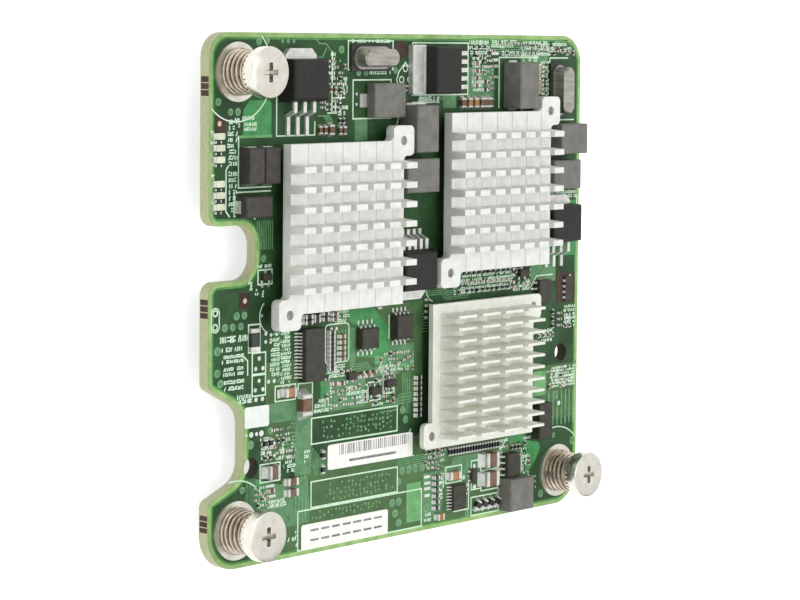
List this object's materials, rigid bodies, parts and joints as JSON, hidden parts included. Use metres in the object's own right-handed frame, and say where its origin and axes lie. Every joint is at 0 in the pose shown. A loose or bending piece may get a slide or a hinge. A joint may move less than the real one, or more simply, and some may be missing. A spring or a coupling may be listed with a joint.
{
  "type": "mezzanine network card",
  "caption": "Notched green mezzanine network card with finned aluminium heatsinks, sprung captive screws and board-to-board connectors on its back.",
  "frame": {"origin": "centre of the board's plan, at the level of the connectors' mating faces", "axes": "+Z out of the component side, +X towards the edge without notches, +Y away from the connectors"},
  "size_m": [0.1094, 0.1, 0.0174],
  "materials": {
    "green_solder_mask": "gloss",
    "connector_plastic": "matte",
    "gold_contact": "satin",
    "nickel_steel": "polished",
    "spring_steel": "satin",
    "package_mould": "matte",
    "solder": "satin",
    "thermal_pad": "matte",
    "sink_aluminium": "satin anodised",
    "pin_steel": "satin",
    "regulator_mould": "matte",
    "tinned_copper": "satin",
    "inductor_ferrite": "matte",
    "crystal_steel": "satin",
    "crystal_base_plastic": "matte",
    "capacitor_mould": "matte",
    "chip_mould": "matte",
    "ceramic": "matte",
    "resistor_film": "matte",
    "indicator_lens": "gloss",
    "network_body": "matte",
    "power_block_mould": "matte",
    "label_paper": "matte"
  },
  "bodies": {
    "card": {"circuit_board": "green_solder_mask", "connector_upper": "connector_plastic", "connector_lower": "connector_plastic", "connector_contacts": "gold_contact", "network_controller_left": "package_mould", "network_controller_right": "package_mould", "bus_bridge": "package_mould", "solder_ball_fields": "solder", "thermal_pads": "thermal_pad", "heatsink_left": "sink_aluminium", "heatsink_right": "sink_aluminium", "heatsink_lower": "sink_aluminium", "heatsink_pins": "pin_steel", "inductor_terminals": "tinned_copper", "crystal_cans": "crystal_steel", "screw_ferrules": "nickel_steel", "crystal_bases": "crystal_base_plastic", "moulded_capacitors": "capacitor_mould", "moulded_capacitor_terminals": "tinned_copper", "chip_leads": "tinned_copper", "transistor": "chip_mould", "ceramic_capacitors": "ceramic", "resistors": "resistor_film", "indicator_lights": "indicator_lens", "fuse": "network_body", "chip_part_ends": "tinned_copper", "resistor_network": "network_body", "decoupling_capacitors": "ceramic", "power_block": "power_block_mould", "blank_labels": "label_paper", "regulator_top_left": "regulator_mould", "regulator_top_left_leads": "tinned_copper", "regulator_top_middle": "regulator_mould", "regulator_top_middle_leads": "tinned_copper", "regulator_right_edge": "regulator_mould", "regulator_right_edge_leads": "tinned_copper", "regulator_centre": "regulator_mould", "regulator_centre_leads": "tinned_copper", "inductor_top": "inductor_ferrite", "inductor_upper_middle": "inductor_ferrite", "inductor_middle": "inductor_ferrite", "inductor_top_right": "inductor_ferrite", "inductor_right_upper": "inductor_ferrite", "inductor_right_lower": "inductor_ferrite", "inductor_bottom": "inductor_ferrite", "transceiver_chip": "chip_mould", "memory_chip": "chip_mould", "clock_chip": "chip_mould", "buffer_chip": "chip_mould", "driver_chip": "chip_mould", "monitor_chip": "chip_mould"},
    "spring_top_left": {"screw_spring_top_left": "spring_steel"},
    "screw_top_left": {"captive_screw_top_left": "nickel_steel"},
    "spring_bottom_left": {"screw_spring_bottom_left": "spring_steel"},
    "screw_bottom_left": {"captive_screw_bottom_left": "nickel_steel"},
    "spring_bottom_right": {"screw_spring_bottom_right": "spring_steel"},
    "screw_bottom_right": {"captive_screw_bottom_right": "nickel_steel"}
  },
  "joints": [
    {"name": "screw_press_top_left", "type": "slide", "parent": "card", "child": "spring_top_left", "axis": [0, 0, -1], "range_m": [0, 0.0022], "stiffness_N_per_m": 400, "springref_m": -0.006, "deforming": ["screw_spring_top_left"]},
    {"name": "screw_turn_top_left", "type": "hinge", "parent": "spring_top_left", "child": "screw_top_left", "pos_m": [-0.0478, 0.0427, 0.0174], "axis": [0, 0, 1], "continuous": true},
    {"name": "screw_press_bottom_left", "type": "slide", "parent": "card", "child": "spring_bottom_left", "axis": [0, 0, -1], "range_m": [0, 0.0022], "stiffness_N_per_m": 400, "springref_m": -0.006, "deforming": ["screw_spring_bottom_left"]},
    {"name": "screw_turn_bottom_left", "type": "hinge", "parent": "spring_bottom_left", "child": "screw_bottom_left", "pos_m": [-0.0478, -0.0427, 0.0174], "axis": [0, 0, 1], "continuous": true},
    {"name": "screw_press_bottom_right", "type": "slide", "parent": "card", "child": "spring_bottom_right", "axis": [0, 0, -1], "range_m": [0, 0.0022], "stiffness_N_per_m": 400, "springref_m": -0.006, "deforming": ["screw_spring_bottom_right"]},
    {"name": "screw_turn_bottom_right", "type": "hinge", "parent": "spring_bottom_right", "child": "screw_bottom_right", "pos_m": [0.0478, -0.0427, 0.0174], "axis": [0, 0, 1], "continuous": true}
  ]
}
